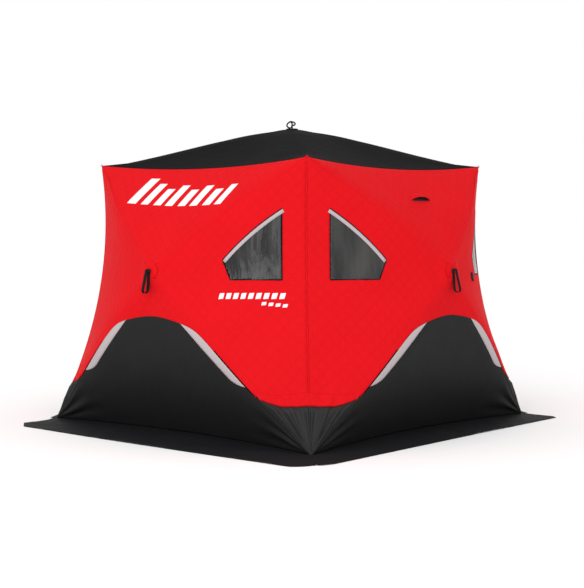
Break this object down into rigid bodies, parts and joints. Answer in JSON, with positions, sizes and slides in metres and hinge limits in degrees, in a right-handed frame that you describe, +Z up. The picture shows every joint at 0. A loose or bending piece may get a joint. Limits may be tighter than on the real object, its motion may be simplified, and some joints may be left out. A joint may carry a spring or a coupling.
{
  "type": "ice fishing shelter",
  "caption": "Square pop-up ice shelter with hub-and-pole walls and roof, slanted side windows, a zipped door, a hooded vent, hub pull loops and a ground skirt.",
  "frame": {"origin": "on the ground, under the middle of the shelter", "axes": "+Z up; the walls face -Y (front), +X (right), +Y (back) and -X (left)"},
  "size_m": [3.128, 3.128, 2.122],
  "materials": {
    "red_cover": "quilted insulated polyester, matt",
    "black_cover": "coated polyester, matt",
    "vinyl": "smoked clear vinyl",
    "nylon": "moulded nylon, satin",
    "fibreglass": "pultruded fibreglass, satin",
    "webbing": "woven polyester webbing",
    "zipper_metal": "die-cast slider"
  },
  "bodies": {
    "cover_frame": {"skirt": "black_cover"},
    "front_hub": {"front_hub": "nylon"},
    "right_hub": {"right_hub": "nylon"},
    "back_hub": {"back_hub": "nylon"},
    "left_hub": {"left_hub": "nylon"},
    "roof_hub": {"roof_hub": "nylon"},
    "front_bottom_cover": {"front_bottom_cover": "black_cover"},
    "front_right_cover": {"front_right_cover": "red_cover", "front_right_window": "vinyl"},
    "front_top_cover": {"front_top_cover": "red_cover"},
    "front_left_cover": {"front_left_cover": "red_cover"},
    "right_bottom_cover": {"right_bottom_cover": "black_cover"},
    "right_right_cover": {"right_right_cover": "red_cover", "right_right_window": "vinyl"},
    "right_top_cover": {"right_top_cover": "red_cover"},
    "right_left_cover": {"right_left_cover": "red_cover", "right_left_window": "vinyl"},
    "back_bottom_cover": {"back_bottom_cover": "black_cover"},
    "back_right_cover": {"back_right_cover": "red_cover"},
    "back_top_cover": {"back_top_cover": "red_cover"},
    "back_left_cover": {"back_left_cover": "red_cover", "back_left_window": "vinyl"},
    "left_bottom_cover": {"left_bottom_cover": "black_cover"},
    "left_right_cover": {"left_right_cover": "red_cover"},
    "left_top_cover": {"left_top_cover": "red_cover"},
    "left_left_cover": {"left_left_cover": "red_cover", "left_left_window": "vinyl"},
    "roof_bottom_cover": {"roof_bottom_cover": "black_cover"},
    "roof_right_cover": {"roof_right_cover": "black_cover"},
    "roof_top_cover": {"roof_top_cover": "black_cover"},
    "roof_left_cover": {"roof_left_cover": "black_cover"},
    "front_lower_left_pole": {"front_lower_left_pole": "fibreglass"},
    "front_lower_right_pole": {"front_lower_right_pole": "fibreglass"},
    "front_upper_right_pole": {"front_upper_right_pole": "fibreglass"},
    "front_upper_left_pole": {"front_upper_left_pole": "fibreglass"},
    "front_pull_loop": {"front_pull_loop": "webbing"},
    "right_lower_left_pole": {"right_lower_left_pole": "fibreglass"},
    "right_lower_right_pole": {"right_lower_right_pole": "fibreglass"},
    "right_upper_right_pole": {"right_upper_right_pole": "fibreglass"},
    "right_upper_left_pole": {"right_upper_left_pole": "fibreglass"},
    "right_pull_loop": {"right_pull_loop": "webbing"},
    "back_lower_left_pole": {"back_lower_left_pole": "fibreglass"},
    "back_lower_right_pole": {"back_lower_right_pole": "fibreglass"},
    "back_upper_right_pole": {"back_upper_right_pole": "fibreglass"},
    "back_upper_left_pole": {"back_upper_left_pole": "fibreglass"},
    "back_pull_loop": {"back_pull_loop": "webbing"},
    "left_lower_left_pole": {"left_lower_left_pole": "fibreglass"},
    "left_lower_right_pole": {"left_lower_right_pole": "fibreglass"},
    "left_upper_right_pole": {"left_upper_right_pole": "fibreglass"},
    "left_upper_left_pole": {"left_upper_left_pole": "fibreglass"},
    "left_pull_loop": {"left_pull_loop": "webbing"},
    "roof_lower_left_pole": {"roof_lower_left_pole": "fibreglass"},
    "roof_lower_right_pole": {"roof_lower_right_pole": "fibreglass"},
    "roof_upper_right_pole": {"roof_upper_right_pole": "fibreglass"},
    "roof_upper_left_pole": {"roof_upper_left_pole": "fibreglass"},
    "roof_pull_loop": {"roof_pull_loop": "webbing"},
    "door_flap": {"door_flap": "red_cover"},
    "zipper_slider": {"zipper_slider": "zipper_metal"},
    "vent_hood": {"vent_hood": "red_cover"}
  },
  "joints": [
    {"name": "front_hub_push", "type": "slide", "parent": "cover_frame", "child": "front_hub", "axis": [0, 0.9915, -0.13], "range_m": [0, 0.65]},
    {"name": "right_hub_push", "type": "slide", "parent": "cover_frame", "child": "right_hub", "axis": [-0.9915, 0, -0.13], "range_m": [0, 0.65]},
    {"name": "back_hub_push", "type": "slide", "parent": "cover_frame", "child": "back_hub", "axis": [0, -0.9915, -0.13], "range_m": [0, 0.65]},
    {"name": "left_hub_push", "type": "slide", "parent": "cover_frame", "child": "left_hub", "axis": [0.9915, 0, -0.13], "range_m": [0, 0.65]},
    {"name": "roof_hub_push", "type": "slide", "parent": "cover_frame", "child": "roof_hub", "axis": [0, 0, -1], "range_m": [0, 0.51]},
    {"name": "front_bottom_fold", "type": "hinge", "parent": "cover_frame", "child": "front_bottom_cover", "pos_m": [0, -1.194, 0], "axis": [-1, 0, 0], "range_deg": [0, 34.45]},
    {"name": "front_right_fold", "type": "hinge", "parent": "cover_frame", "child": "front_right_cover", "pos_m": [1.03993, -1.03993, 1.17513], "axis": [0.1289, -0.1289, -0.9832], "range_deg": [0, 34.49]},
    {"name": "front_top_fold", "type": "hinge", "parent": "cover_frame", "child": "front_top_cover", "pos_m": [0, -0.958, 1.8], "axis": [1, 0, 0], "range_deg": [0, 46.06]},
    {"name": "front_left_fold", "type": "hinge", "parent": "cover_frame", "child": "front_left_cover", "pos_m": [-1.03993, -1.03993, 1.17513], "axis": [0.1289, 0.1289, 0.9832], "range_deg": [0, 34.49]},
    {"name": "right_bottom_fold", "type": "hinge", "parent": "cover_frame", "child": "right_bottom_cover", "pos_m": [1.194, 0, 0], "axis": [0, -1, 0], "range_deg": [0, 34.45]},
    {"name": "right_right_fold", "type": "hinge", "parent": "cover_frame", "child": "right_right_cover", "pos_m": [1.03993, 1.03993, 1.17513], "axis": [0.1289, 0.1289, -0.9832], "range_deg": [0, 34.49]},
    {"name": "right_top_fold", "type": "hinge", "parent": "cover_frame", "child": "right_top_cover", "pos_m": [0.958, 0, 1.8], "axis": [0, 1, 0], "range_deg": [0, 46.06]},
    {"name": "right_left_fold", "type": "hinge", "parent": "cover_frame", "child": "right_left_cover", "pos_m": [1.03993, -1.03993, 1.17513], "axis": [-0.1289, 0.1289, 0.9832], "range_deg": [0, 34.49]},
    {"name": "back_bottom_fold", "type": "hinge", "parent": "cover_frame", "child": "back_bottom_cover", "pos_m": [0, 1.194, 0], "axis": [1, 0, 0], "range_deg": [0, 34.45]},
    {"name": "back_right_fold", "type": "hinge", "parent": "cover_frame", "child": "back_right_cover", "pos_m": [-1.03993, 1.03993, 1.17513], "axis": [-0.1289, 0.1289, -0.9832], "range_deg": [0, 34.49]},
    {"name": "back_top_fold", "type": "hinge", "parent": "cover_frame", "child": "back_top_cover", "pos_m": [0, 0.958, 1.8], "axis": [-1, 0, 0], "range_deg": [0, 46.06]},
    {"name": "back_left_fold", "type": "hinge", "parent": "cover_frame", "child": "back_left_cover", "pos_m": [1.03993, 1.03993, 1.17513], "axis": [-0.1289, -0.1289, 0.9832], "range_deg": [0, 34.49]},
    {"name": "left_bottom_fold", "type": "hinge", "parent": "cover_frame", "child": "left_bottom_cover", "pos_m": [-1.194, 0, 0], "axis": [0, 1, 0], "range_deg": [0, 34.45]},
    {"name": "left_right_fold", "type": "hinge", "parent": "cover_frame", "child": "left_right_cover", "pos_m": [-1.03993, -1.03993, 1.17513], "axis": [-0.1289, -0.1289, -0.9832], "range_deg": [0, 34.49]},
    {"name": "left_top_fold", "type": "hinge", "parent": "cover_frame", "child": "left_top_cover", "pos_m": [-0.958, 0, 1.8], "axis": [0, -1, 0], "range_deg": [0, 46.06]},
    {"name": "left_left_fold", "type": "hinge", "parent": "cover_frame", "child": "left_left_cover", "pos_m": [-1.03993, 1.03993, 1.17513], "axis": [0.1289, -0.1289, 0.9832], "range_deg": [0, 34.49]},
    {"name": "roof_bottom_fold", "type": "hinge", "parent": "cover_frame", "child": "roof_bottom_cover", "pos_m": [0, -0.958, 1.8], "axis": [-1, 0, 0], "range_deg": [0, 29.86]},
    {"name": "roof_right_fold", "type": "hinge", "parent": "cover_frame", "child": "roof_right_cover", "pos_m": [0.958, 0, 1.8], "axis": [0, -1, 0], "range_deg": [0, 29.86]},
    {"name": "roof_top_fold", "type": "hinge", "parent": "cover_frame", "child": "roof_top_cover", "pos_m": [0, 0.958, 1.8], "axis": [1, 0, 0], "range_deg": [0, 29.86]},
    {"name": "roof_left_fold", "type": "hinge", "parent": "cover_frame", "child": "roof_left_cover", "pos_m": [-0.958, 0, 1.8], "axis": [0, 1, 0], "range_deg": [0, 29.86]},
    {"name": "front_lower_left_pole_turn", "type": "hinge", "parent": "front_hub", "child": "front_lower_left_pole", "pos_m": [-0.03379, -1.35386, 1.04998], "axis": [-0.6604, 0.0976, 0.7446], "range_deg": [0, 25.07]},
    {"name": "front_lower_right_pole_turn", "type": "hinge", "parent": "front_hub", "child": "front_lower_right_pole", "pos_m": [0.03379, -1.35386, 1.04998], "axis": [-0.6604, -0.0976, -0.7446], "range_deg": [0, 25.07]},
    {"name": "front_upper_right_pole_turn", "type": "hinge", "parent": "front_hub", "child": "front_upper_right_pole", "pos_m": [0.03516, -1.34635, 1.10729], "axis": [0.6242, -0.1016, -0.7746], "range_deg": [0, 32.94]},
    {"name": "front_upper_left_pole_turn", "type": "hinge", "parent": "front_hub", "child": "front_upper_left_pole", "pos_m": [-0.03516, -1.34635, 1.10729], "axis": [0.6242, 0.1016, 0.7746], "range_deg": [0, 32.94]},
    {"name": "front_loop_swing", "type": "hinge", "parent": "front_hub", "child": "front_pull_loop", "pos_m": [0, -1.40651, 1.08685], "axis": [-1, 0, 0], "range_deg": [0, 44.72]},
    {"name": "right_lower_left_pole_turn", "type": "hinge", "parent": "right_hub", "child": "right_lower_left_pole", "pos_m": [1.35386, -0.03379, 1.04998], "axis": [-0.0976, -0.6604, 0.7446], "range_deg": [0, 25.07]},
    {"name": "right_lower_right_pole_turn", "type": "hinge", "parent": "right_hub", "child": "right_lower_right_pole", "pos_m": [1.35386, 0.03379, 1.04998], "axis": [0.0976, -0.6604, -0.7446], "range_deg": [0, 25.07]},
    {"name": "right_upper_right_pole_turn", "type": "hinge", "parent": "right_hub", "child": "right_upper_right_pole", "pos_m": [1.34635, 0.03516, 1.10729], "axis": [0.1016, 0.6242, -0.7746], "range_deg": [0, 32.94]},
    {"name": "right_upper_left_pole_turn", "type": "hinge", "parent": "right_hub", "child": "right_upper_left_pole", "pos_m": [1.34635, -0.03516, 1.10729], "axis": [-0.1016, 0.6242, 0.7746], "range_deg": [0, 32.94]},
    {"name": "right_loop_swing", "type": "hinge", "parent": "right_hub", "child": "right_pull_loop", "pos_m": [1.40651, 0, 1.08685], "axis": [0, -1, 0], "range_deg": [0, 44.72]},
    {"name": "back_lower_left_pole_turn", "type": "hinge", "parent": "back_hub", "child": "back_lower_left_pole", "pos_m": [0.03379, 1.35386, 1.04998], "axis": [0.6604, -0.0976, 0.7446], "range_deg": [0, 25.07]},
    {"name": "back_lower_right_pole_turn", "type": "hinge", "parent": "back_hub", "child": "back_lower_right_pole", "pos_m": [-0.03379, 1.35386, 1.04998], "axis": [0.6604, 0.0976, -0.7446], "range_deg": [0, 25.07]},
    {"name": "back_upper_right_pole_turn", "type": "hinge", "parent": "back_hub", "child": "back_upper_right_pole", "pos_m": [-0.03516, 1.34635, 1.10729], "axis": [-0.6242, 0.1016, -0.7746], "range_deg": [0, 32.94]},
    {"name": "back_upper_left_pole_turn", "type": "hinge", "parent": "back_hub", "child": "back_upper_left_pole", "pos_m": [0.03516, 1.34635, 1.10729], "axis": [-0.6242, -0.1016, 0.7746], "range_deg": [0, 32.94]},
    {"name": "back_loop_swing", "type": "hinge", "parent": "back_hub", "child": "back_pull_loop", "pos_m": [0, 1.40651, 1.08685], "axis": [1, 0, 0], "range_deg": [0, 44.72]},
    {"name": "left_lower_left_pole_turn", "type": "hinge", "parent": "left_hub", "child": "left_lower_left_pole", "pos_m": [-1.35386, 0.03379, 1.04998], "axis": [0.0976, 0.6604, 0.7446], "range_deg": [0, 25.07]},
    {"name": "left_lower_right_pole_turn", "type": "hinge", "parent": "left_hub", "child": "left_lower_right_pole", "pos_m": [-1.35386, -0.03379, 1.04998], "axis": [-0.0976, 0.6604, -0.7446], "range_deg": [0, 25.07]},
    {"name": "left_upper_right_pole_turn", "type": "hinge", "parent": "left_hub", "child": "left_upper_right_pole", "pos_m": [-1.34635, -0.03516, 1.10729], "axis": [-0.1016, -0.6242, -0.7746], "range_deg": [0, 32.94]},
    {"name": "left_upper_left_pole_turn", "type": "hinge", "parent": "left_hub", "child": "left_upper_left_pole", "pos_m": [-1.34635, 0.03516, 1.10729], "axis": [0.1016, -0.6242, 0.7746], "range_deg": [0, 32.94]},
    {"name": "left_loop_swing", "type": "hinge", "parent": "left_hub", "child": "left_pull_loop", "pos_m": [-1.40651, 0, 1.08685], "axis": [0, 1, 0], "range_deg": [0, 44.72]},
    {"name": "roof_lower_left_pole_turn", "type": "hinge", "parent": "roof_hub", "child": "roof_lower_left_pole", "pos_m": [-0.03182, -0.03182, 2.025], "axis": [-0.7071, 0.7071, 0], "range_deg": [0, 23.48]},
    {"name": "roof_lower_right_pole_turn", "type": "hinge", "parent": "roof_hub", "child": "roof_lower_right_pole", "pos_m": [0.03182, -0.03182, 2.025], "axis": [-0.7071, -0.7071, 0], "range_deg": [0, 23.48]},
    {"name": "roof_upper_right_pole_turn", "type": "hinge", "parent": "roof_hub", "child": "roof_upper_right_pole", "pos_m": [0.03182, 0.03182, 2.025], "axis": [0.7071, -0.7071, 0], "range_deg": [0, 23.48]},
    {"name": "roof_upper_left_pole_turn", "type": "hinge", "parent": "roof_hub", "child": "roof_upper_left_pole", "pos_m": [-0.03182, 0.03182, 2.025], "axis": [0.7071, 0.7071, 0], "range_deg": [0, 23.48]},
    {"name": "roof_loop_tilt", "type": "hinge", "parent": "roof_hub", "child": "roof_pull_loop", "pos_m": [0, 0, 2.082], "axis": [0.7071, -0.7071, 0], "range_deg": [-50, 0]},
    {"name": "door_open", "type": "hinge", "parent": "left_right_cover", "child": "door_flap", "pos_m": [-1.0924, -0.88251, 1.16137], "axis": [0.1289, 0.1289, 0.9832], "range_deg": [0, 150]},
    {"name": "zipper_slide", "type": "slide", "parent": "left_right_cover", "child": "zipper_slider", "axis": [-0.1072, 0.7216, 0.6839], "range_m": [0, 0.862]},
    {"name": "vent_prop", "type": "hinge", "parent": "right_top_cover", "child": "vent_hood", "pos_m": [1.0747, 0, 1.60761], "axis": [0, -1, 0], "range_deg": [-25, 20]}
  ],
  "couplings": [
    {"joint": "front_bottom_fold", "follows": "front_hub_push", "rad_per_m": 0.9236},
    {"joint": "front_right_fold", "follows": "front_hub_push", "rad_per_m": 0.9247},
    {"joint": "front_top_fold", "follows": "front_hub_push", "rad_per_m": 1.2355},
    {"joint": "front_left_fold", "follows": "front_hub_push", "rad_per_m": 0.9247},
    {"joint": "right_bottom_fold", "follows": "right_hub_push", "rad_per_m": 0.9236},
    {"joint": "right_right_fold", "follows": "right_hub_push", "rad_per_m": 0.9247},
    {"joint": "right_top_fold", "follows": "right_hub_push", "rad_per_m": 1.2355},
    {"joint": "right_left_fold", "follows": "right_hub_push", "rad_per_m": 0.9247},
    {"joint": "back_bottom_fold", "follows": "back_hub_push", "rad_per_m": 0.9236},
    {"joint": "back_right_fold", "follows": "back_hub_push", "rad_per_m": 0.9247},
    {"joint": "back_top_fold", "follows": "back_hub_push", "rad_per_m": 1.2355},
    {"joint": "back_left_fold", "follows": "back_hub_push", "rad_per_m": 0.9247},
    {"joint": "left_bottom_fold", "follows": "left_hub_push", "rad_per_m": 0.9236},
    {"joint": "left_right_fold", "follows": "left_hub_push", "rad_per_m": 0.9247},
    {"joint": "left_top_fold", "follows": "left_hub_push", "rad_per_m": 1.2355},
    {"joint": "left_left_fold", "follows": "left_hub_push", "rad_per_m": 0.9247},
    {"joint": "roof_bottom_fold", "follows": "roof_hub_push", "rad_per_m": 1.0202},
    {"joint": "roof_right_fold", "follows": "roof_hub_push", "rad_per_m": 1.0202},
    {"joint": "roof_top_fold", "follows": "roof_hub_push", "rad_per_m": 1.0202},
    {"joint": "roof_left_fold", "follows": "roof_hub_push", "rad_per_m": 1.0202},
    {"joint": "front_lower_left_pole_turn", "follows": "front_hub_push", "rad_per_m": 0.67171},
    {"joint": "front_lower_right_pole_turn", "follows": "front_hub_push", "rad_per_m": 0.67171},
    {"joint": "front_upper_right_pole_turn", "follows": "front_hub_push", "rad_per_m": 0.88302},
    {"joint": "front_upper_left_pole_turn", "follows": "front_hub_push", "rad_per_m": 0.88302},
    {"joint": "front_loop_swing", "follows": "front_hub_push", "rad_per_m": 1.1994},
    {"joint": "right_lower_left_pole_turn", "follows": "right_hub_push", "rad_per_m": 0.67171},
    {"joint": "right_lower_right_pole_turn", "follows": "right_hub_push", "rad_per_m": 0.67171},
    {"joint": "right_upper_right_pole_turn", "follows": "right_hub_push", "rad_per_m": 0.88302},
    {"joint": "right_upper_left_pole_turn", "follows": "right_hub_push", "rad_per_m": 0.88302},
    {"joint": "right_loop_swing", "follows": "right_hub_push", "rad_per_m": 1.1994},
    {"joint": "back_lower_left_pole_turn", "follows": "back_hub_push", "rad_per_m": 0.67171},
    {"joint": "back_lower_right_pole_turn", "follows": "back_hub_push", "rad_per_m": 0.67171},
    {"joint": "back_upper_right_pole_turn", "follows": "back_hub_push", "rad_per_m": 0.88302},
    {"joint": "back_upper_left_pole_turn", "follows": "back_hub_push", "rad_per_m": 0.88302},
    {"joint": "back_loop_swing", "follows": "back_hub_push", "rad_per_m": 1.1994},
    {"joint": "left_lower_left_pole_turn", "follows": "left_hub_push", "rad_per_m": 0.67171},
    {"joint": "left_lower_right_pole_turn", "follows": "left_hub_push", "rad_per_m": 0.67171},
    {"joint": "left_upper_right_pole_turn", "follows": "left_hub_push", "rad_per_m": 0.88302},
    {"joint": "left_upper_left_pole_turn", "follows": "left_hub_push", "rad_per_m": 0.88302},
    {"joint": "left_loop_swing", "follows": "left_hub_push", "rad_per_m": 1.1994},
    {"joint": "roof_lower_left_pole_turn", "follows": "roof_hub_push", "rad_per_m": 0.80177},
    {"joint": "roof_lower_right_pole_turn", "follows": "roof_hub_push", "rad_per_m": 0.80177},
    {"joint": "roof_upper_right_pole_turn", "follows": "roof_hub_push", "rad_per_m": 0.80177},
    {"joint": "roof_upper_left_pole_turn", "follows": "roof_hub_push", "rad_per_m": 0.80177}
  ]
}
